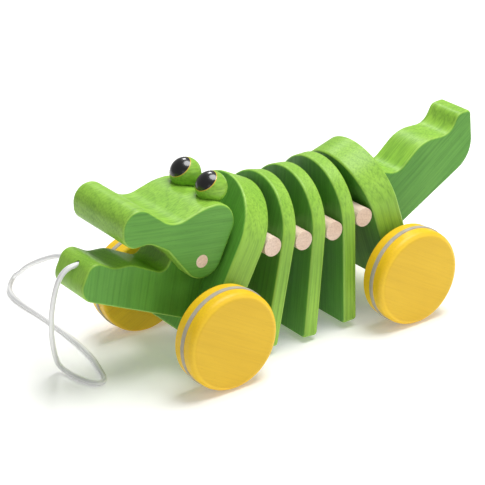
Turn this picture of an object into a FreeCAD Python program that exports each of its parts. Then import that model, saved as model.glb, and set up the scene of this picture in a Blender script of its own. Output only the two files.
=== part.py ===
"""Wooden pull-along crocodile: an assembly of glued, pinned and turning hardwood pieces.

Frame: +X runs from the snout to the tail, -Y is the near side, +Z is up. The origin lies on the
floor under the middle of the bounding box of the toy without its cord. Lengths are millimetres.
The front unit (front block and lower jaw), each rib and the rear unit (rear block and tail) are
drawn square, about a point of their own, and then leaned into the resting pose.
"""
import FreeCAD, Part
import math
import os
from FreeCAD import Placement, Rotation, Vector

os.makedirs("parts", exist_ok=True)
doc = FreeCAD.newDocument("pull_along_crocodile")

# ---------------------------------------------------------------- driving dimensions
SIZES = {
    # overall layout
    "front_axle_x": -88.8, "wheelbase": 173.0, "axle_height": 39.2,
    "unit_back": 0.7, "unit_up": 0.4,
    "front_lean": 28.5, "rear_lean": -17.0,
    # wheels
    "wheel_radius": 38.4, "wheel_width": 23.0, "wheel_inner_y": 49.0,
    "wheel_outer_round": 5.0, "wheel_inner_round": 2.5,
    "ring_radius": 39.2, "ring_width": 4.0, "ring_depth": 2.6, "ring_inset": 9.0,
    "axle_radius": 4.0, "axle_play": 0.08, "axle_socket": 15.0, "spacer_radius": 9.0,
    "side_play": 0.3,
    # blocks and ribs
    "block_half_width": 43.5, "front_block_depth": 23.5, "front_block_face": -7.25,
    "rear_block_depth": 24.4, "rear_block_face": -7.7, "block_foot": -15.0,
    "front_arch": 64.5, "rear_arch": 53.0,
    "rib_half_width": 43.0, "rib_thickness": 12.5, "rib_arch": 0.0, "rib_foot": -83.5,
    "edge_round": 2.0, "foot_round": 4.0,
    # hinges between the blocks and the ribs
    "dowel_radius": 7.5, "dowel_length": 85.0, "hinge_play": 0.1,
    "rib_hinge_reach": 14.25, "rib_hinge_rise": 1.6,
    "front_hinge_u": 24.6, "front_hinge_w": 70.0,
    "eye_radius": 11.0, "tongue_half": 6.0, "fork_half": 13.3, "leaf_gap": 0.4,
    "link_half_height": 14.0, "mortise_depth": 14.0, "fork_root_half": 12.0,
    "knuckle_depth": 3.2, "knuckle_half": 12.5,
    # head and lower jaw
    "head_half_width": 35.0, "jaw_half_width": 20.0, "slot_half_width": 20.5,
    "slot_front": -22.0, "slot_roof": 17.6, "profile_round": 2.0,
    "jaw_pin_u": -27.5, "jaw_pin_w": 44.4, "jaw_pin_radius": 5.0,
    "eyeball_radius": 12.0, "eyeball_x": 22.0, "eyeball_z": 47.0, "eyeball_y": 17.0,
    "peg_radius": 3.0, "peg_length": 22.0, "glue_dowel_radius": 5.0, "glue_dowel_length": 34.0,
    # tail
    "tail_half_width": 17.0,
    # cord
    "cord_radius": 2.0, "cord_hole_radius": 2.6,
}
sheet = doc.addObject("Spreadsheet::Sheet", "sizes")
for row, (alias, value) in enumerate(SIZES.items(), start=1):
    sheet.set("A%d" % row, alias)
    sheet.set("B%d" % row, str(value))
    sheet.setAlias("B%d" % row, alias)
doc.recompute()


def size(alias):
    """The value of a cell of the sheet."""
    return float(sheet.get(alias))


# ---------------------------------------------------------------- resting pose
def leaned(x, z, lean):
    """The placement of a unit whose own origin is at (x, z), its top leaning back by lean degrees."""
    return Placement(Vector(x, 0, z), Rotation(Vector(0, 1, 0), lean))


AXLES = {"front": Vector(size("front_axle_x"), 0, size("axle_height")),
         "rear": Vector(size("front_axle_x") + size("wheelbase"), 0, size("axle_height"))}
FRONT, REAR = [leaned(axle.x + size("unit_back"), axle.z + size("unit_up"), lean)
               for axle, lean in ((AXLES["front"], size("front_lean")), (AXLES["rear"], size("rear_lean")))]
RIB_LEANS = {"a": 12.5, "b": 6.4, "c": -0.4}

hinges = [FRONT.multVec(Vector(size("front_hinge_u"), 0, size("front_hinge_w")))]
RIBS = {}
half_step = Vector(size("rib_hinge_reach"), 0, size("rib_hinge_rise"))
for letter, lean in RIB_LEANS.items():
    turn = Rotation(Vector(0, 1, 0), lean)
    centre = hinges[-1] + turn.multVec(half_step)
    RIBS[letter] = Placement(centre, turn)
    hinges.append(centre + turn.multVec(half_step))
rear_hinge = REAR.inverse().multVec(hinges[-1])      # the last hinge in the rear unit's own frame
jaw_pin = FRONT.multVec(Vector(size("jaw_pin_u"), 0, size("jaw_pin_w")))
HEAD = Placement(jaw_pin, Rotation())
print("hinges", [tuple(round(c, 2) for c in p) for p in hinges])
print("jaw pin", tuple(round(c, 2) for c in jaw_pin))

nodes = []


def node(thing, name, placement=None):
    """Registers a document object as a sub-part with its own label and placement."""
    thing.Label = name
    doc.recompute()
    if placement is not None:
        thing.Placement = placement.multiply(thing.Placement)
    nodes.append(thing)
    return thing


# ---------------------------------------------------------------- drawing helpers
def rounded(points):
    """A closed outline of lines and tangent arcs through corners given as (x, y, radius)."""
    count = len(points)
    starts, ends, arcs = [], [], []
    for i in range(count):
        x, y, radius = points[i]
        corner = Vector(x, y, 0)
        back = Vector(*points[i - 1][:2], 0) - corner
        ahead = Vector(*points[(i + 1) % count][:2], 0) - corner
        back.normalize()
        ahead.normalize()
        half_angle = back.getAngle(ahead) / 2
        if radius <= 0:
            starts.append(corner)
            ends.append(corner)
            arcs.append(None)
            continue
        cut = radius / math.tan(half_angle)
        bisector = back + ahead
        bisector.normalize()
        middle = corner + bisector * (radius / math.sin(half_angle) - radius)
        starts.append(corner + back * cut)
        ends.append(corner + ahead * cut)
        arcs.append(Part.Arc(starts[-1], middle, ends[-1]))
    outline = []
    for i in range(count):
        if arcs[i] is not None:
            outline.append(arcs[i])
        outline.append(Part.LineSegment(ends[i], starts[(i + 1) % count]))
    return outline


def new_body(name):
    return doc.addObject("PartDesign::Body", name)


def draw(body, role, geometry):
    """A sketch on one of the body's own origin planes."""
    sketch = body.newObject("Sketcher::SketchObject", body.Name + "_sketch")
    plane = [f for f in body.Origin.OriginFeatures if f.Role == role][0]
    sketch.AttachmentSupport = [(plane, "")]
    sketch.MapMode = "FlatFace"
    sketch.addGeometry(geometry, False)
    return sketch


def pad(body, sketch, length):
    """A pad centred on the sketch plane, its length an expression."""
    feature = body.newObject("PartDesign::Pad", body.Name + "_pad")
    feature.Profile = sketch
    feature.SideType = "Symmetric"
    feature.setExpression("Length", length)
    doc.recompute()
    return feature


def cut_through(body, sketch, length):
    """A pocket centred on the sketch plane, which must take material away."""
    before = body.Tip.Shape.Volume
    feature = body.newObject("PartDesign::Pocket", body.Name + "_pocket")
    feature.Profile = sketch
    feature.SideType = "Symmetric"
    feature.setExpression("Length", length)
    doc.recompute()
    assert feature.Shape.Volume < before - 1, body.Name + ": a pocket cuts nothing"
    return feature


def soften(body, radius, wanted):
    """A fillet on the edges of the tip that the test wants."""
    base = body.Tip
    names = ["Edge%d" % (i + 1) for i, e in enumerate(base.Shape.Edges) if wanted(e)]
    feature = body.newObject("PartDesign::Fillet", body.Name + "_fillet")
    feature.Base = (base, names)
    feature.setExpression("Radius", radius)
    doc.recompute()
    return feature


def middle_of(edge):
    return edge.valueAt((edge.FirstParameter + edge.LastParameter) / 2)


def box_outline(x0, y0, x1, y1):
    return rounded([(x0, y0, 0), (x1, y0, 0), (x1, y1, 0), (x0, y1, 0)])


def rod(name, radius, length, x=0.0, z=0.0):
    """A round rod along Y, centred on Y = 0; radius and length are expressions."""
    cylinder = doc.addObject("Part::Cylinder", name)
    cylinder.setExpression("Radius", radius)
    cylinder.setExpression("Height", length)
    doc.recompute()
    turn = Rotation(Vector(1, 0, 0), -90)
    cylinder.Placement = Placement(Vector(x, -cylinder.Height.Value / 2, z), turn)
    return cylinder


def peg(name, radius, length, base, axis):
    """A round peg from base along axis; radius and length are expressions."""
    cylinder = doc.addObject("Part::Cylinder", name)
    cylinder.setExpression("Radius", radius)
    cylinder.setExpression("Height", length)
    cylinder.Placement = Placement(base, Rotation(Vector(0, 0, 1), axis))
    return cylinder


def block(name, low, high):
    """A box between two corners."""
    solid = doc.addObject("Part::Box", name)
    solid.Length, solid.Width, solid.Height = high - low
    solid.Placement = Placement(low, Rotation())
    return solid


def fuse(name, pieces):
    joined = doc.addObject("Part::MultiFuse", name)
    joined.Shapes = pieces
    joined.Refine = True
    return joined


def cut(name, base, tools):
    """Base less every tool."""
    result = doc.addObject("Part::Cut", name)
    result.Base = base
    result.Tool = tools[0] if len(tools) == 1 else fuse(name + "_tools", tools)
    result.Refine = True
    return result


# ---------------------------------------------------------------- ribs and blocks
def arch_outline(half_width, arch, foot, foot_round):
    """A plate outline in Y, Z: a half-round top on straight sides and a flat foot."""
    corners = rounded([(-half_width, arch, 0), (-half_width, foot, foot_round),
                       (half_width, foot, foot_round), (half_width, arch, 0)])
    top = Part.Arc(Vector(half_width, arch, 0), Vector(0, arch + half_width, 0),
                   Vector(-half_width, arch, 0))
    return corners[:-1] + [top]


def plate(name, half_width, thickness, arch, foot):
    """An upright plate, centred on X = 0, with every edge of its two faces rounded."""
    body = new_body(name)
    outline = arch_outline(size(half_width), size(arch), size(foot), size("foot_round"))
    pad(body, draw(body, "YZ_Plane", outline), "sizes." + thickness)
    half = size(thickness) / 2
    soften(body, "sizes.edge_round", lambda e: abs(abs(middle_of(e).x) - half) < 0.01)
    return body


def add_ribs():
    """Three ribs, each with a window that its link is glued through."""
    for letter, placement in RIBS.items():
        body = plate("rib_" + letter, "rib_half_width", "rib_thickness", "rib_arch", "rib_foot")
        window = box_outline(-size("fork_half"), -size("link_half_height"),
                             size("fork_half"), size("link_half_height"))
        cut_through(body, draw(body, "YZ_Plane", window), "sizes.rib_thickness * 2")
        node(body, "rib_" + letter, placement)


def axle_bore(end, unit):
    """The bore that an axle turns in, at the axle's place in the frame of its unit."""
    place = unit.inverse().multVec(AXLES[end])
    return rod(end + "_axle_bore", "sizes.axle_radius + sizes.axle_play", "sizes.block_half_width * 2 + 4",
               place.x, place.z)


def add_front_block():
    """The block that the front axle turns in, with sockets for the tongue and the jaw's dowels."""
    body = plate("front_block_blank", "block_half_width", "front_block_depth", "front_arch", "block_foot")
    middle = size("front_block_face") + size("front_block_depth") / 2
    body.Placement = Placement(Vector(middle, 0, 0), Rotation())
    rear = size("front_block_face") + size("front_block_depth")
    w, tongue, fork = size("front_hinge_w"), size("tongue_half"), size("fork_half") + size("leaf_gap")
    eye, mortise = size("eye_radius"), rear - size("mortise_depth")
    recess, tall = rear - size("knuckle_depth"), size("knuckle_half")
    tools = [
        axle_bore("front", FRONT),
        block("front_tongue_mortise", Vector(mortise, -tongue, w - eye), Vector(rear + 1, tongue, w + eye)),
        block("front_knuckle_recess", Vector(recess, -fork, w - tall), Vector(rear + 1, fork, w + tall)),
    ]
    tools += glue_pegs("jaw_socket", size("front_block_face") - JAW_DOWEL_DEPTH, JAW_DOWEL_HEIGHTS)
    node(cut("front_block", body, tools), "front_block", FRONT)


def add_rear_block():
    """The block that the rear axle turns in, with sockets for the fork and the tail's dowels."""
    body = plate("rear_block_blank", "block_half_width", "rear_block_depth", "rear_arch", "block_foot")
    middle = size("rear_block_face") + size("rear_block_depth") / 2
    body.Placement = Placement(Vector(middle, 0, 0), Rotation())
    face, fork, tall = size("rear_block_face"), size("fork_half"), size("fork_root_half")
    w, mortise = rear_hinge.z, face + size("mortise_depth")
    tools = [
        axle_bore("rear", REAR),
        block("rear_fork_mortise", Vector(face - 1, -fork, w - tall), Vector(mortise, fork, w + tall)),
    ]
    tools += glue_pegs("tail_socket", tail_face() - BLOCK_DOWEL_DEPTH, TAIL_DOWEL_HEIGHTS)
    node(cut("rear_block", body, tools), "rear_block", REAR)


# ---------------------------------------------------------------- hinges
def eye_leaf(name, x, z, x_root, y0, y1):
    """A leaf from y0 to y1: a round eye about the pivot at (x, z) and a neck back to x_root."""
    eye = doc.addObject("Part::Cylinder", name + "_eye")
    eye.setExpression("Radius", "sizes.eye_radius")
    eye.Height = y1 - y0
    eye.Placement = Placement(Vector(x, y0, z), Rotation(Vector(1, 0, 0), -90))
    reach = size("eye_radius")
    neck = block(name + "_neck", Vector(min(x, x_root), y0, z - reach), Vector(max(x, x_root), y1, z + reach))
    return [eye, neck]


def fork_leaves(name, x, z, x_root):
    """The two outer leaves of a hinge."""
    inner, outer = size("tongue_half") + size("leaf_gap"), size("fork_half")
    return (eye_leaf(name + "_near", x, z, x_root, -outer, -inner)
            + eye_leaf(name + "_far", x, z, x_root, inner, outer))


def tight_bore(name, x, z):
    return rod(name, "sizes.dowel_radius", "sizes.dowel_length", x, z)


def free_bore(name, x, z):
    return rod(name, "sizes.dowel_radius + sizes.hinge_play", "sizes.dowel_length", x, z)


def add_links():
    """The rib links (fork in front, tongue behind), the front tongue and the rear fork."""
    reach, rise = size("rib_hinge_reach"), size("rib_hinge_rise")
    clear = size("eye_radius") + size("leaf_gap")
    fork, tongue, tall = size("fork_half"), size("tongue_half"), size("link_half_height")
    for letter, placement in RIBS.items():
        name = "rib_link_" + letter
        web = block(name + "_web", Vector(clear - reach, -fork, -tall), Vector(reach - clear, fork, tall))
        leaves = fork_leaves(name, -reach, -rise, clear - reach)
        leaves += eye_leaf(name + "_tongue", reach, rise, reach - clear, -tongue, tongue)
        bores = [tight_bore(name + "_front_bore", -reach, -rise), free_bore(name + "_rear_bore", reach, rise)]
        node(cut(name, fuse(name + "_blank", [web] + leaves), bores), name, placement)

    u, w = size("front_hinge_u"), size("front_hinge_w")
    rear = size("front_block_face") + size("front_block_depth")
    root = rear - size("mortise_depth")
    leaf = fuse("front_tongue_blank", eye_leaf("front_tongue", u, w, root, -tongue, tongue))
    node(cut("front_tongue", leaf, [free_bore("front_tongue_bore", u, w)]), "front_tongue", FRONT)

    u, w, thick = rear_hinge.x, rear_hinge.z, size("fork_root_half")
    end = size("rear_block_face") + size("mortise_depth")
    root = block("rear_fork_root", Vector(u + clear, -fork, w - thick), Vector(end, fork, w + thick))
    blank = fuse("rear_fork_blank", [root] + fork_leaves("rear_fork", u, w, u + clear))
    node(cut("rear_fork", blank, [tight_bore("rear_fork_bore", u, w)]), "rear_fork", REAR)


def add_hinge_dowels():
    """Four thick cross dowels, one in each gap of the body."""
    reach, rise = size("rib_hinge_reach"), size("rib_hinge_rise")
    places = [(RIBS[letter], -reach, -rise) for letter in RIBS]
    places.append((REAR, rear_hinge.x, rear_hinge.z))
    for number, (placement, x, z) in enumerate(places, start=1):
        name = "hinge_dowel_%d" % number
        node(rod(name, "sizes.dowel_radius", "sizes.dowel_length", x, z), name, placement)


# ---------------------------------------------------------------- glue dowels of the jaw and the tail
JAW_DOWEL_HEIGHTS = (13.0, 30.0)
TAIL_DOWEL_HEIGHTS = (24.0, 40.0)
JAW_DOWEL_DEPTH = 22.0
BLOCK_DOWEL_DEPTH = 12.0


def tail_face():
    return size("rear_block_face") + size("rear_block_depth")


def glue_pegs(name, start, heights):
    """One hidden dowel along X at each height, starting at x = start."""
    return [peg("%s_%d" % (name, i), "sizes.glue_dowel_radius", "sizes.glue_dowel_length",
                Vector(start, 0, height), Vector(1, 0, 0)) for i, height in enumerate(heights)]


def add_glue_dowels():
    """Two dowels hold the jaw to the front block, and two hold the tail to the rear block."""
    jaw_pegs = glue_pegs("jaw_peg", size("front_block_face") - JAW_DOWEL_DEPTH, JAW_DOWEL_HEIGHTS)
    node(group("jaw_glue_dowels", jaw_pegs), "jaw_glue_dowels", FRONT)
    tail_pegs = glue_pegs("tail_peg", tail_face() - BLOCK_DOWEL_DEPTH, TAIL_DOWEL_HEIGHTS)
    node(group("tail_glue_dowels", tail_pegs), "tail_glue_dowels", REAR)


# ---------------------------------------------------------------- lower jaw
JAW_OUTLINE = [  # u, w, corner radius, in the front unit's frame; the hump stands round the jaw pin
    (-7.25, -3.4, 0), (-7.25, 61.7, 0), (-31.9, 61.7, 17.3), (-48.9, 52.4, 3), (-42.5, 38, 6),
    (-43.5, 26, 7), (-74.5, 25.8, 20), (-87.5, 20, 15), (-108.6, 21.2, 9), (-108, -9.3, 12),
]
CORD_MOUTH = Vector(-108.0, -3.0, 13.0)   # where the cord leaves the front of the nose
CORD_SIDE = Vector(-95.0, 20.0, 12.0)     # where it leaves the far side of the nose
CORD_MEET = Vector(-97.0, -3.0, 16.5)     # where the two holes meet inside


def profile_body(name, outline, length):
    """A board cut to a side profile, centred on Y = 0."""
    body = new_body(name)
    pad(body, draw(body, "XZ_Plane", rounded(outline)), length)
    return body


def hole_between(name, inside, outside):
    """A drilled hole for the cord, from a point inside to just past a point on the surface."""
    axis = outside - inside
    hole = doc.addObject("Part::Cylinder", name)
    hole.setExpression("Radius", "sizes.cord_hole_radius")
    hole.Height = axis.Length + 6
    hole.Placement = Placement(inside, Rotation(Vector(0, 0, 1), axis))
    return hole


def add_lower_jaw():
    """The jaw board, glued to the front block, with the pin's bore and the cord's two holes."""
    body = profile_body("lower_jaw_board", JAW_OUTLINE, "sizes.jaw_half_width * 2")
    half, glued = size("jaw_half_width"), size("front_block_face")
    soften(body, "sizes.edge_round", lambda e: abs(abs(middle_of(e).y) - half) < 0.01
           and middle_of(e).x < glued - 0.01)
    tools = [
        rod("jaw_pin_bore", "sizes.jaw_pin_radius + sizes.hinge_play", "sizes.jaw_half_width * 2 + 4",
            size("jaw_pin_u"), size("jaw_pin_w")),
        hole_between("cord_hole_top", CORD_MEET, CORD_MOUTH),
        hole_between("cord_hole_side", CORD_MEET, CORD_SIDE),
    ]
    tools += glue_pegs("jaw_bore", glued - JAW_DOWEL_DEPTH, JAW_DOWEL_HEIGHTS)
    node(cut("lower_jaw", body, tools), "lower_jaw", FRONT)


# ---------------------------------------------------------------- head
HEAD_OUTLINE = [  # x, z, corner radius, from the jaw pin
    (-65.2, 25, 11.5), (-64.2, 68.6, 13.5), (-22.5, 33.2, 20), (4, 40.6, 40), (40, 42, 16),
    (4.2, -29.8, 16.7), (-28.3, 15.8, 12), (-43, 25.5, 15),
]


def eyeball(name, side):
    ball = doc.addObject("Part::Sphere", name)
    ball.setExpression("Radius", "sizes.eyeball_radius")
    ball.Placement = Placement(Vector(size("eyeball_x"), side * size("eyeball_y"), size("eyeball_z")), Rotation())
    return ball


def eye_peg(name, side):
    """A thin dowel from inside an eyeball down into the head."""
    base = Vector(size("eyeball_x"), side * size("eyeball_y"), size("eyeball_z"))
    return peg(name, "sizes.peg_radius", "sizes.peg_length", base, Vector(-0.35, 0, -1))


def add_head():
    """The head board: two lobes at the back straddle the jaw and carry the jaw pin."""
    body = profile_body("head_board", HEAD_OUTLINE, "sizes.head_half_width * 2")
    half = size("head_half_width")
    soften(body, "sizes.profile_round", lambda e: abs(abs(middle_of(e).y) - half) < 0.01)
    slot = size("slot_half_width")
    tools = [
        block("head_slot", Vector(size("slot_front"), -slot, -40), Vector(60, slot, size("slot_roof"))),
        rod("head_pin_bore", "sizes.jaw_pin_radius", "sizes.head_half_width * 2 + 4"),
    ]
    for label, side in (("near", -1), ("far", 1)):
        tools.append(eyeball("eye_socket_" + label, side))
        tools.append(eye_peg("eye_peg_bore_" + label, side))
    node(cut("head", body, tools), "head", HEAD)
    node(rod("jaw_pin", "sizes.jaw_pin_radius", "sizes.head_half_width * 2"), "jaw_pin", HEAD)


def add_eyes():
    """Two turned balls, each on a thin glued dowel."""
    for label, side in (("near", -1), ("far", 1)):
        name = "eye_" + label
        node(cut(name, eyeball(name + "_ball", side), [eye_peg(name + "_bore", side)]), name, HEAD)
        node(eye_peg("eye_peg_" + label, side), "eye_peg_" + label, HEAD)


# ---------------------------------------------------------------- tail
TAIL_OUTLINE = [  # u, w, corner radius, in the rear unit's frame
    (16.7, 8.7, 0), (112.5, 28.3, 26), (121.3, 67.5, 4), (108.5, 70.6, 7), (96, 58.8, 14),
    (70, 67.5, 30), (39.5, 55, 14), (16.7, 72.5, 0),
]


def add_tail():
    """The tail board, glued to the rear block."""
    body = profile_body("tail_board", TAIL_OUTLINE, "sizes.tail_half_width * 2")
    half, glued = size("tail_half_width"), tail_face()
    soften(body, "sizes.edge_round", lambda e: abs(abs(middle_of(e).y) - half) < 0.01
           and middle_of(e).x > glued + 0.01)
    tools = glue_pegs("tail_bore", glued - BLOCK_DOWEL_DEPTH, TAIL_DOWEL_HEIGHTS)
    node(cut("tail", body, tools), "tail", REAR)


# ---------------------------------------------------------------- wheels and axles
def turned(name, outline):
    """A piece turned about the Y axis from an outline in Y (distance along) and Z (radius)."""
    body = new_body(name)
    sketch = draw(body, "YZ_Plane", outline)
    feature = body.newObject("PartDesign::Revolution", name + "_turning")
    feature.Profile = sketch
    feature.ReferenceAxis = (sketch, ["H_Axis"])
    feature.Angle = 360
    doc.recompute()
    return body


def wheel_outline():
    """A blind-bored wheel with a groove round the tread, its inner face at the wheel's inner y."""
    inner, radius = size("wheel_inner_y"), size("wheel_radius")
    outer, bore = inner + size("wheel_width"), size("axle_radius")
    socket = inner + size("axle_socket")
    groove = inner + size("ring_inset")
    floor, width = radius - size("ring_depth"), size("ring_width")
    return rounded([
        (inner, bore, 0), (socket, bore, 0), (socket, 0, 0), (outer, 0, 0),
        (outer, radius, size("wheel_outer_round")), (groove + width, radius, 0),
        (groove + width, floor, 0), (groove, floor, 0), (groove, radius, 0),
        (inner, radius, size("wheel_inner_round")),
    ])


def ring_outline():
    """A rubber ring that fills the groove and stands a little proud of the tread."""
    near = size("wheel_inner_y") + size("ring_inset")
    far, floor, top = near + size("ring_width"), size("wheel_radius") - size("ring_depth"), size("ring_radius")
    return rounded([(near, floor, 0), (far, floor, 0), (far, top, 1), (near, top, 1)])


def spacer_outline():
    """A washer between a block and a wheel, glued to the wheel."""
    start = size("block_half_width") + size("side_play")
    return rounded([(start, size("axle_radius"), 0), (size("wheel_inner_y"), size("axle_radius"), 0),
                    (size("wheel_inner_y"), size("spacer_radius"), 0), (start, size("spacer_radius"), 0.8)])


def mirrored(placement, side):
    """The far side's placement, or for the near side the same piece turned half round about Z."""
    return placement if side > 0 else placement.multiply(Placement(Vector(), Rotation(Vector(0, 0, 1), 180)))


def add_wheels():
    """Two axles, each with a wheel, a rubber ring and a spacer washer glued on at both ends."""
    length = 2 * (size("wheel_inner_y") + size("axle_socket"))
    for end, axle in AXLES.items():
        place = Placement(axle, Rotation())
        node(rod(end + "_axle", "sizes.axle_radius", str(length)), end + "_axle", place)
        for label, side in (("near", -1), ("far", 1)):
            for kind, outline in (("wheel", wheel_outline()), ("tread_ring", ring_outline()),
                                  ("axle_spacer", spacer_outline())):
                name = "%s_%s_%s" % (kind, end, label)
                node(turned(name, outline), name, mirrored(place, side))


# ---------------------------------------------------------------- cord
CORD_ROUTE = [
    # out of the front of the nose and down to the floor
    (-168.8, -3, 101), (-180.5, -3, 103.3), (-189.5, 0.5, 95.5), (-193, 5, 78), (-192, 13, 58),
    (-188, 22, 38), (-182.5, 30, 19), (-178, 33.5, 6), (-175, 26, 2.1),
    # a fold beside the near wheel, then away over the floor
    (-172.5, 9, 2.1), (-166.5, -4.5, 2.1), (-158.5, -2.5, 2.1), (-153.5, 13.5, 2.1), (-146.5, 40, 2.1),
    (-143.8, 78, 2.1), (-143.7, 118, 2.1), (-146, 150, 2.1), (-144.5, 168, 2.1),
    # the far fold, then back up into the far side of the nose
    (-139.5, 180, 3.2), (-134, 180.5, 11), (-136.5, 165, 20.5), (-142.5, 142, 36), (-150.5, 110, 54.5),
    (-159, 74, 74), (-165.4, 44.5, 88.7), (-166, 27, 94), (-165.7, 13, 97),
]
BEND_SHARE = 0.45                         # part of the shorter neighbouring run that a bend takes


def cord_wire(route):
    """Straight runs joined by tangent arcs; prints the radius of every bend."""
    points = [Vector(*p) for p in route]
    edges, radii = [], []
    start = points[0]
    for before, corner, after in zip(points, points[1:], points[2:]):
        back, ahead = before - corner, after - corner
        shorter = min(back.Length, ahead.Length)
        back.normalize()
        ahead.normalize()
        turn = math.pi - back.getAngle(ahead)
        reach = BEND_SHARE * shorter
        radius = reach / math.tan(turn / 2)
        bisector = back + ahead
        bisector.normalize()
        entry, leave = corner + back * reach, corner + ahead * reach
        middle = corner + bisector * (radius / math.cos(turn / 2) - radius)
        edges.append(Part.LineSegment(start, entry).toShape())
        edges.append(Part.Arc(entry, middle, leave).toShape())
        radii.append(round(radius, 1))
        start = leave
    edges.append(Part.LineSegment(start, points[-1]).toShape())
    print("cord bend radii", radii)
    return Part.Wire(edges)


def add_cord():
    """The pull cord: one tube from its hole in the front of the nose to the one in its far side."""
    path = doc.addObject("Part::Feature", "cord_path")
    path.Shape = cord_wire(CORD_ROUTE)
    first, second = Vector(*CORD_ROUTE[0]), Vector(*CORD_ROUTE[1])
    section = doc.addObject("Part::Circle", "cord_section")
    section.setExpression("Radius", "sizes.cord_radius")
    section.Placement = Placement(first, Rotation(Vector(0, 0, 1), second - first))
    tube = doc.addObject("Part::Sweep", "pull_cord")
    tube.Sections = [section]
    tube.Spine = (path, ["Edge%d" % (i + 1) for i in range(len(path.Shape.Edges))])
    tube.Solid = True
    node(tube, "pull_cord")
    expected = math.pi * size("cord_radius") ** 2 * path.Shape.Length
    print("cord length %.1f, volume %.1f of %.1f" % (path.Shape.Length, tube.Shape.Volume, expected))
    assert abs(tube.Shape.Volume / expected - 1) < 0.01, "the cord's tube is not whole"


def group(name, pieces):
    """Separate solids kept together as one compound."""
    compound = doc.addObject("Part::Compound", name)
    compound.Links = pieces
    return compound


# ---------------------------------------------------------------- build, check and export
add_front_block()
add_lower_jaw()
add_head()
add_eyes()
add_ribs()
add_rear_block()
add_links()
add_hinge_dowels()
add_glue_dowels()
add_tail()
add_wheels()
add_cord()
doc.recompute()

for thing in doc.Objects:
    bad = [state for state in thing.State if state in ("Invalid", "Error")]
    assert not bad, "%s is %s" % (thing.Name, bad)

whole = None
for thing in nodes:
    shape = thing.Shape
    assert not shape.isNull() and shape.isValid() and shape.Volume > 0, thing.Label + " is not sound"
    shape.exportStep("parts/%s.step" % thing.Label)
    box = shape.BoundBox
    if thing.Label != "pull_cord":
        whole = box if whole is None else whole.united(box)
print(len(nodes), "nodes; box without the cord", whole)
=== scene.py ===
"""A wooden pull-along crocodile: stained beech boards, rubber-ringed wheels and a white pull cord."""

import math

import bpy
from mathutils import Matrix, Vector


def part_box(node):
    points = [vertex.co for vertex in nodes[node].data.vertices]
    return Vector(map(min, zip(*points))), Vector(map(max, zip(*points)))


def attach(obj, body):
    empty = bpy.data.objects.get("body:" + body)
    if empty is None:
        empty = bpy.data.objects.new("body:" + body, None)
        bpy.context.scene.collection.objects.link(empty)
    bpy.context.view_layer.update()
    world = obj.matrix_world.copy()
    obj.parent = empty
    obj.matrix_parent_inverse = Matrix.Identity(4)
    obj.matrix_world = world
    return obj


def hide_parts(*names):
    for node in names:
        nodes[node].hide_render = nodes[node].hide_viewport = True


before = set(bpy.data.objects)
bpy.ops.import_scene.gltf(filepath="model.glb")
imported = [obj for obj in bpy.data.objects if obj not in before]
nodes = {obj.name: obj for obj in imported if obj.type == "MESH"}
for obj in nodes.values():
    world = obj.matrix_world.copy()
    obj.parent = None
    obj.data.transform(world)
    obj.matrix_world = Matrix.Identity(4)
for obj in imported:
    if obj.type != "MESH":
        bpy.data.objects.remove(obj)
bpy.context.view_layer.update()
bpy.ops.object.select_all(action="DESELECT")


# ---------------------------------------------------------------- camera
# A long lens from the snout's near side, a little above the toy and tipped by a degree or two.
# It is turned by its compass angle, its height angle and its roll, in degrees.
CAMERA_TURN, CAMERA_HEIGHT, CAMERA_ROLL = -34.469, 24.645, -1.524
bpy.ops.object.camera_add(location=(-0.7783, -1.0885, 0.6828))
camera = bpy.context.object
camera.name = "studio_camera"
camera.data.lens = 142.2
camera.data.sensor_width = 36.0
turn, height, roll = [math.radians(angle) for angle in (CAMERA_TURN, CAMERA_HEIGHT, CAMERA_ROLL)]
back = Vector((math.sin(turn) * math.cos(height), -math.cos(turn) * math.cos(height), math.sin(height)))
right = (-back).cross(Vector((0, 0, 1))).normalized()
up = right.cross(-back)
right, up = right * math.cos(roll) + up * math.sin(roll), up * math.cos(roll) - right * math.sin(roll)
facing = Matrix((right, up, back)).transposed().to_4x4()
camera.matrix_world = Matrix.Translation(camera.location) @ facing
bpy.context.scene.camera = camera


# ---------------------------------------------------------------- pull cord
# A braided white cotton cord, 4 mm thick. It comes out of the front of the nose, drops to the
# floor, folds back beside the wheel, runs away over the floor, folds again and climbs back into
# the far side of the nose, where a knot holds it.
def srgb(code):
    """A linear colour from an sRGB hex code."""
    parts = [int(code[i:i + 2], 16) / 255 for i in (1, 3, 5)]
    return [p / 12.92 if p <= 0.04045 else ((p + 0.055) / 1.055) ** 2.4 for p in parts] + [1.0]


def add_node(tree, kind, inputs=None, **settings):
    """One node with its settings, its plain values and its links."""
    made = tree.nodes.new(kind)
    for name, value in settings.items():
        setattr(made, name, value)
    for socket, value in (inputs or {}).items():
        if isinstance(value, bpy.types.NodeSocket):
            tree.links.new(value, made.inputs[socket])
        else:
            made.inputs[socket].default_value = value
    return made


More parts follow.
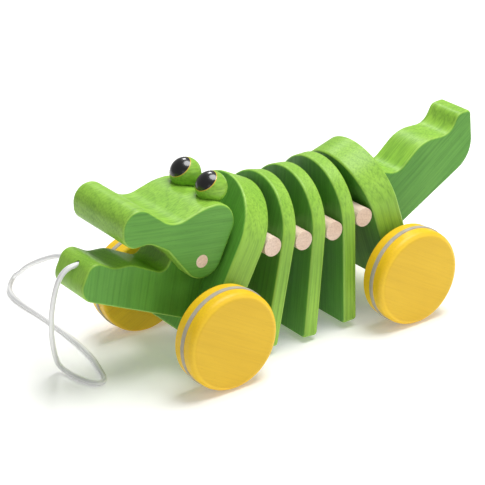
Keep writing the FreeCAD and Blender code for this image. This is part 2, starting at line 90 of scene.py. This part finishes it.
CORD_THICKNESS = 0.004
cord_route = [
    # out of the front of the nose and down to the floor
    (-0.1688, -0.003, 0.101), (-0.1805, -0.003, 0.1033), (-0.1895, 0.0005, 0.0955),
    (-0.193, 0.005, 0.078), (-0.192, 0.013, 0.058), (-0.188, 0.022, 0.038), (-0.1825, 0.03, 0.019),
    (-0.178, 0.0335, 0.006), (-0.175, 0.026, 0.0021),
    # a fold beside the near wheel, then away over the floor
    (-0.1725, 0.009, 0.0021), (-0.1665, -0.0045, 0.0021), (-0.1585, -0.0025, 0.0021),
    (-0.1535, 0.0135, 0.0021), (-0.1465, 0.04, 0.0021), (-0.1438, 0.078, 0.0021),
    (-0.1437, 0.118, 0.0021), (-0.146, 0.15, 0.0021), (-0.1445, 0.168, 0.0021),
    # the far fold, then back up into the far side of the nose
    (-0.1395, 0.18, 0.0032), (-0.134, 0.1805, 0.011), (-0.1365, 0.165, 0.0205), (-0.1425, 0.142, 0.036),
    (-0.1505, 0.11, 0.0545), (-0.159, 0.074, 0.074), (-0.1654, 0.0445, 0.0887), (-0.166, 0.027, 0.094),
    (-0.1657, 0.013, 0.097),
]
cord_line = bpy.data.curves.new("pull_cord_braid", "CURVE")
cord_line.dimensions = "3D"
spline = cord_line.splines.new("NURBS")
spline.points.add(len(cord_route) - 1)
for point, place in zip(spline.points, cord_route):
    point.co = (*place, 1.0)
spline.order_u = 3
spline.use_endpoint_u = True
spline.resolution_u = 8
cord_line.bevel_depth = CORD_THICKNESS / 2
cord_line.bevel_resolution = 6
cord = bpy.data.objects.new("pull_cord_braid", cord_line)
bpy.context.scene.collection.objects.link(cord)

# Braided cotton: matt and fuzzy, soft white, with painted shade making it greyer between its crossing
# strands, which are 2.6 mm apart along the cord. U runs along the whole cord and V runs round it.
BRAID_STEP, CORD_LENGTH = 0.0026, 0.5516
cotton = bpy.data.materials.new("braided_white_cotton")
cotton.use_nodes = True
tree = cotton.node_tree
surface = tree.nodes["Principled BSDF"]
along = add_node(tree, "ShaderNodeTexCoord").outputs["UV"]
turns = CORD_LENGTH / BRAID_STEP
strands = []
for lean in (1, -1):
    slant = add_node(tree, "ShaderNodeVectorMath", {0: along, 1: (turns, 2 * lean, 0)},
                     operation="DOT_PRODUCT")
    angle = add_node(tree, "ShaderNodeMath", {0: slant.outputs["Value"], 1: 2 * math.pi},
                     operation="MULTIPLY")
    strands.append(add_node(tree, "ShaderNodeMath", {0: angle.outputs[0]}, operation="SINE").outputs[0])
braid = add_node(tree, "ShaderNodeMath", {0: strands[0], 1: strands[1]}, operation="MULTIPLY")
shade = add_node(tree, "ShaderNodeMapRange", {"Value": braid.outputs[0], "From Min": -1.0,
                                              "From Max": 0.6}).outputs["Result"]
tint = add_node(tree, "ShaderNodeMix", {0: shade, 6: srgb("#E0E0E0"), 7: srgb("#FFFFFF")}, data_type="RGBA")
relief = add_node(tree, "ShaderNodeBump", {"Height": shade, "Strength": 0.5, "Distance": 0.0004})
tree.links.new(tint.outputs[2], surface.inputs["Base Color"])
tree.links.new(relief.outputs["Normal"], surface.inputs["Normal"])
surface.inputs["Roughness"].default_value = 0.85
surface.inputs["Sheen Weight"].default_value = 0.3
cord_line.materials.append(cotton)
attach(cord, "front_unit")
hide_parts("pull_cord")


# ---------------------------------------------------------------- floor and studio light
# A plain white sweep under the toy that glows faintly, as painted light that lifts the shadows on it,
# a broad soft light above it and softer ones to either side.
bpy.ops.mesh.primitive_plane_add(size=8.0)
floor = bpy.context.object
floor.name = "studio_floor"
paper = bpy.data.materials.new("faintly_glowing_white_paper")
paper.use_nodes = True
surface = paper.node_tree.nodes["Principled BSDF"]
surface.inputs["Base Color"].default_value = srgb("#F7F7F5")
surface.inputs["Roughness"].default_value = 0.9
# The paper glows faintly: painted light that lifts the shadows on it and the light on the toy's undersides.
surface.inputs["Emission Color"].default_value = srgb("#FFFFFF")
surface.inputs["Emission Strength"].default_value = 0.18
floor.data.materials.append(paper)

scene = bpy.context.scene
scene.view_settings.view_transform = "Standard"
scene.world = bpy.data.worlds.new("studio_air")
scene.world.use_nodes = True
air = scene.world.node_tree.nodes["Background"]
air.inputs["Color"].default_value = (1.0, 1.0, 1.0, 1.0)
air.inputs["Strength"].default_value = 0.28


def soft_light(name, place, target, width, watts):
    """A round area light at a place, facing a target, with its width in metres."""
    bpy.ops.object.light_add(type="AREA", location=place)
    lamp = bpy.context.object
    lamp.name = name
    lamp.data.shape = "DISK"
    lamp.data.size = width
    lamp.data.energy = watts
    way = Vector(target) - Vector(place)
    lamp.rotation_euler = way.to_track_quat("-Z", "Y").to_euler()


soft_light("top_light", (0.3, -0.1, 1.5), (0, 0, 0.05), width=1.1, watts=24.0)
soft_light("back_light", (0.5, 1.0, 1.15), (0, 0, 0.1), width=0.3, watts=4.0)
soft_light("front_light", (-1.3, -1.3, 0.9), (0, 0, 0.08), width=0.9, watts=1.2)
soft_light("near_light", (0.9, -1.5, 0.8), (0, 0, 0.08), width=0.8, watts=4.5)


# ---------------------------------------------------------------- green boards
# Beech boards, sawn to shape, rounded over with a router and dipped in a clear green stain. The
# colour sits darker on the planed faces, partly from the stain and partly as painted shade, since
# these are the sides that get less light than the tops. It is yellower on the sawn edges and
# lighter on the rounded corners, and the stain lets the growth lines and the short dark flecks of
# the beech show.
WAVE_SPACING = 0.314  # a wave texture of scale 1 repeats every 0.314 m
SWAY = 0.009  # how far the growth lines waver, in metres


def stained_beech(name, edge, face, dark, corner_tone, base=(0, 0, 0), lean=0.0, grain="X", flat=("Y", 0.0, 1.0),
                  heart=(0, 0.03, -0.09), ring=0.005, growth=0.15, fibre=0.36, shine=0.42):
    """Beech under a clear stain. Edge and face are its two tones on sawn and on planed wood. Face is
    darker partly from the stain and partly as painted shade, for the sides that get less light. Dark
    is its tone in the pores and corner_tone its lighter tone on the rounded corners. Base and lean
    place the board, flat gives the axis, the middle and the half thickness between its planed faces,
    and heart is the tree's middle. Ring is the growth lines' spacing, growth and fibre say how
    strongly they show, and shine is the roughness."""
    wood = bpy.data.materials.new(name)
    wood.use_nodes = True
    tree = wood.node_tree
    surface = tree.nodes["Principled BSDF"]
    place = add_node(tree, "ShaderNodeTexCoord").outputs["Object"]
    board = add_node(tree, "ShaderNodeMapping", {"Vector": place, "Location": base,
                     "Rotation": (0, math.radians(lean), 0)}, vector_type="TEXTURE").outputs[0]

    # noises drawn out along the grain, by their width and length in millimetres: the slow sway of
    # the growth lines, fine fibres, short dark flecks and cloudy patches of stain
    noises = {}
    for kind, across, length, detail in (("sway", 30, 120, 1.0), ("fibres", 1.4, 45, 3.0),
                                         ("flecks", 0.9, 4.5, 1.0), ("patches", 24, 55, 2.0)):
        scale = [1000 / across] * 3
        scale["XYZ".index(grain)] = 1000 / length
        cells = add_node(tree, "ShaderNodeMapping", {"Vector": board, "Scale": scale}).outputs[0]
        noises[kind] = add_node(tree, "ShaderNodeTexNoise", {"Vector": cells, "Scale": 1.0,
                                                             "Detail": detail})
    fibres = noises["fibres"].outputs["Fac"]

    # growth lines, a few millimetres apart round the tree's middle
    wobble = add_node(tree, "ShaderNodeVectorMath", {0: noises["sway"].outputs["Color"], 1: (SWAY,) * 3},
                      operation="MULTIPLY")
    moved = add_node(tree, "ShaderNodeVectorMath", {0: board, 1: wobble.outputs[0]}, operation="ADD")
    centred = add_node(tree, "ShaderNodeMapping", {"Vector": moved.outputs[0],
                                                   "Location": [-distance for distance in heart]})
    rings = add_node(tree, "ShaderNodeTexWave", {"Vector": centred.outputs[0], "Scale": WAVE_SPACING / ring},
                     wave_type="RINGS", rings_direction=grain, wave_profile="SAW")

    # how far the surface is from the middle between the board's planed faces
    axis, middle, half = flat
    parts = add_node(tree, "ShaderNodeSeparateXYZ", {"Vector": board})
    off = add_node(tree, "ShaderNodeMath", {0: parts.outputs[axis], 1: middle}, operation="SUBTRACT")
    depth = add_node(tree, "ShaderNodeMath", {0: off.outputs[0]}, operation="ABSOLUTE").outputs[0]

    # each part's share of the colour: none at the first value, and the last number at the second
    share = {}
    for kind, value, none, full, most in (
            ("planed", depth, half - 0.0006, half - 0.0001, 1.0),
            ("rounding", depth, half - 0.0018, half - 0.0009, 0.3),
            ("inside", depth, half - 0.0001, half - 0.0005, 1.0),
            ("patches", noises["patches"].outputs["Fac"], 0.3, 0.7, 1.0),
            ("streaks", fibres, 0.42, 0.72, fibre),
            ("lines", rings.outputs["Fac"], 0.55, 1.0, growth),
            ("flecks", noises["flecks"].outputs["Fac"], 0.64, 0.74, 0.2)):
        ranged = add_node(tree, "ShaderNodeMapRange", {"Value": value, "From Min": none, "From Max": full,
                                                       "To Max": most})
        share[kind] = ranged.outputs["Result"]
    corner = add_node(tree, "ShaderNodeMath", {0: share["inside"], 1: share["rounding"]},
                      operation="MULTIPLY").outputs[0]

    # the stain, patchy on sawn and planed wood, the planed tone darker partly as painted shade, then
    # the dark pores, lines and flecks, then the lighter corners
    sawn, planed = [add_node(tree, "ShaderNodeMix", {0: share["patches"], 6: srgb(deep), 7: srgb(pale)},
                             data_type="RGBA").outputs[2] for pale, deep in (edge, face)]
    tone = sawn
    for amount, colour in ((share["planed"], planed), (share["streaks"], srgb(dark)),
                           (share["lines"], srgb(dark)), (share["flecks"], srgb(dark)),
                           (corner, srgb(corner_tone))):
        tone = add_node(tree, "ShaderNodeMix", {0: amount, 6: tone, 7: colour}, data_type="RGBA").outputs[2]
    tree.links.new(tone, surface.inputs["Base Color"])
    gloss = add_node(tree, "ShaderNodeMapRange", {"Value": fibres, "To Min": shine - 0.06,
                                                  "To Max": shine + 0.12})
    tree.links.new(gloss.outputs["Result"], surface.inputs["Roughness"])
    relief = add_node(tree, "ShaderNodeBump", {"Height": fibres, "Strength": 0.18, "Distance": 0.0002})
    tree.links.new(relief.outputs["Normal"], surface.inputs["Normal"])
    surface.inputs["Specular IOR Level"].default_value = 0.35
    surface.inputs["Coat Weight"].default_value = 0.06
    surface.inputs["Coat Roughness"].default_value = 0.3
    return wood


def give_finish(piece, material):
    """Gives a CAD piece its finish."""
    nodes[piece].data.materials.clear()
    nodes[piece].data.materials.append(material)


# The green stain is a clear satin one. Each board has its own material, because its grain follows
# its own place and lean, and the links are cut from the same wood as the piece they belong to.
# A row gives the board's place and lean, the way its grain runs, its planed faces, the tree's
# middle and how strongly its fibres show. The bases are the middles of the two blocks and the
# jaw pin.
# The second pair is the planed faces' tone, darker partly as painted shade.
GREEN = (("#9BCB48", "#89BC3D"), ("#68A940", "#589A35"), "#33651C", "#A9D45E")
front_base, rear_base = (-0.0881, 0, 0.0396), (0.0849, 0, 0.0396)
head_base = (-0.0911, 0, 0.0917)
boards = {}
for board, base, lean, grain, flat, heart, fibre in (
        ("front_block", front_base, 28.5, "Z", ("X", 0.0045, 0.01175), (0.05, 0.02, 0), 0.36),
        ("lower_jaw", front_base, 12.0, "Z", ("Y", 0, 0.02), (0.05, 0.03, 0), 0.25),
        ("head", head_base, 8.0, "X", ("Y", 0, 0.035), (0, 0.03, -0.05), 0.36),
        ("rib_a", (-0.0188, 0, 0.0879), 12.5, "Z", ("X", 0, 0.00625), (0.04, 0.05, 0), 0.36),
        ("rib_b", (0.0098, 0, 0.0863), 6.4, "Z", ("X", 0, 0.00625), (-0.06, 0.03, 0), 0.36),
        ("rib_c", (0.0384, 0, 0.088), -0.4, "Z", ("X", 0, 0.00625), (0.05, -0.07, 0), 0.36),
        ("rear_block", rear_base, -17.0, "Z", ("X", 0.0045, 0.0122), (0.06, 0.01, 0), 0.36),
        ("tail", rear_base, -35.0, "X", ("Y", 0, 0.017), (0, 0.04, -0.05), 0.36)):
    boards[board] = stained_beech("green_stained_beech_" + board, *GREEN, base, lean, grain, flat, heart,
                                  fibre=fibre)
    give_finish(board, boards[board])
for link, owner in {"rib_link_a": "rib_a", "rib_link_b": "rib_b", "rib_link_c": "rib_c",
                    "front_tongue": "front_block", "rear_fork": "rear_block"}.items():
    give_finish(link, boards[owner])


# ---------------------------------------------------------------- plain beech dowels
# Bought beech rod, sanded and left bare: the hinge dowels, the jaw pin, the axles, the washers
# and the hidden glue dowels. Pale pinkish wood, and darker open pores on the cut ends.
BARE = ("#EFD8C6", "#E2C3AC")
bare_beech = stained_beech("bare_sanded_beech", BARE, BARE, "#B3917A", BARE[0], grain="Y", ring=0.003,
                           shine=0.55)
for dowel in ("hinge_dowel_1", "hinge_dowel_2", "hinge_dowel_3", "hinge_dowel_4", "jaw_pin", "front_axle",
              "rear_axle", "jaw_glue_dowels", "tail_glue_dowels", "eye_peg_near", "eye_peg_far",
              "axle_spacer_front_near", "axle_spacer_front_far", "axle_spacer_rear_near",
              "axle_spacer_rear_far"):
    give_finish(dowel, bare_beech)


# ---------------------------------------------------------------- wheels and tread rings
# Wheels turned from beech board and stained yellow, so their grain barely shows, with a grey
# rubber ring pressed into a groove round each tread. The rubber is matt, with faint dusty spots
# a few millimetres across.
rubber = bpy.data.materials.new("matt_grey_rubber")
rubber.use_nodes = True
tree = rubber.node_tree
surface = tree.nodes["Principled BSDF"]
place = add_node(tree, "ShaderNodeTexCoord").outputs["Object"]
DUST_SCALE = 180.0  # spots 5.6 mm across
dust = add_node(tree, "ShaderNodeTexNoise", {"Vector": place, "Scale": DUST_SCALE, "Detail": 3.0})
tint = add_node(tree, "ShaderNodeMix", {0: dust.outputs["Fac"], 6: srgb("#9C9485"), 7: srgb("#BFB8A8")},
                data_type="RGBA")
tree.links.new(tint.outputs[2], surface.inputs["Base Color"])
surface.inputs["Roughness"].default_value = 0.7
# The second pair, on the wheels' planed faces, is a little darker, partly as painted shade.
YELLOW = (("#F6CB28", "#EFC220"), ("#EAC026", "#E4B920"), "#C79A1E", "#FFD842")
for end, base in (("front", front_base), ("rear", rear_base)):
    for side, lean in (("near", 30.0), ("far", -25.0)):
        wood = stained_beech("yellow_stained_beech_%s_%s" % (end, side), *YELLOW, base, lean, "X",
                             ("Y", 0, 0.072), (0, 0.09, 0.02), ring=0.008, growth=0.06, fibre=0.2)
        give_finish("wheel_%s_%s" % (end, side), wood)
        give_finish("tread_ring_%s_%s" % (end, side), rubber)


# ---------------------------------------------------------------- eyes
# Turned balls sunk in the brow and stained green, each with a black pupil that looks up and
# forward, and a thin yellow ring painted round it. Both are brushed-on enamel: smooth and even,
# with a clear gloss on the black. They end at angles from the pupil's middle, in degrees.
enamel = bpy.data.materials.new("black_gloss_enamel")
enamel.use_nodes = True
surface = enamel.node_tree.nodes["Principled BSDF"]
surface.inputs["Base Color"].default_value = srgb("#0B0A0A")
surface.inputs["Roughness"].default_value = 0.28
surface.inputs["Coat Weight"].default_value = 0.7
surface.inputs["Coat Roughness"].default_value = 0.06
rim_paint = bpy.data.materials.new("yellow_gloss_enamel")
rim_paint.use_nodes = True
surface = rim_paint.node_tree.nodes["Principled BSDF"]
surface.inputs["Base Color"].default_value = srgb("#D6B548")
surface.inputs["Roughness"].default_value = 0.25
EYE_RADIUS, PUPIL_EDGE, RIM_EDGE = 0.012, 49.5, 53.0
pupil_way = Vector((-0.61, 0, 0.79)).normalized()
for side in ("near", "far"):
    low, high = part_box("eye_" + side)
    centre = (low + high) / 2
    centre.z = high.z - EYE_RADIUS
    bpy.ops.object.select_all(action="DESELECT")
    bpy.ops.mesh.primitive_uv_sphere_add(segments=72, ring_count=36, radius=EYE_RADIUS)
    ball = bpy.context.object
    ball.name = "painted_eye_" + side
    bpy.ops.object.mode_set(mode="EDIT")
    for edge in (PUPIL_EDGE, RIM_EDGE):
        bpy.ops.mesh.select_all(action="SELECT")
        bpy.ops.mesh.bisect(plane_co=(0, 0, EYE_RADIUS * math.cos(math.radians(edge))), plane_no=(0, 0, 1))
    bpy.ops.object.mode_set(mode="OBJECT")
    for part in (boards["head"], enamel, rim_paint):
        ball.data.materials.append(part)
    for face in ball.data.polygons:
        angle = math.degrees(face.center.angle(Vector((0, 0, 1))))
        face.material_index = 1 if angle < PUPIL_EDGE else 2 if angle < RIM_EDGE else 0
        face.use_smooth = True
    aim = Vector((0, 0, 1)).rotation_difference(pupil_way).to_matrix().to_4x4()
    ball.data.transform(Matrix.Translation(centre) @ aim)
    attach(ball, "head_unit")
    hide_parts("eye_" + side)
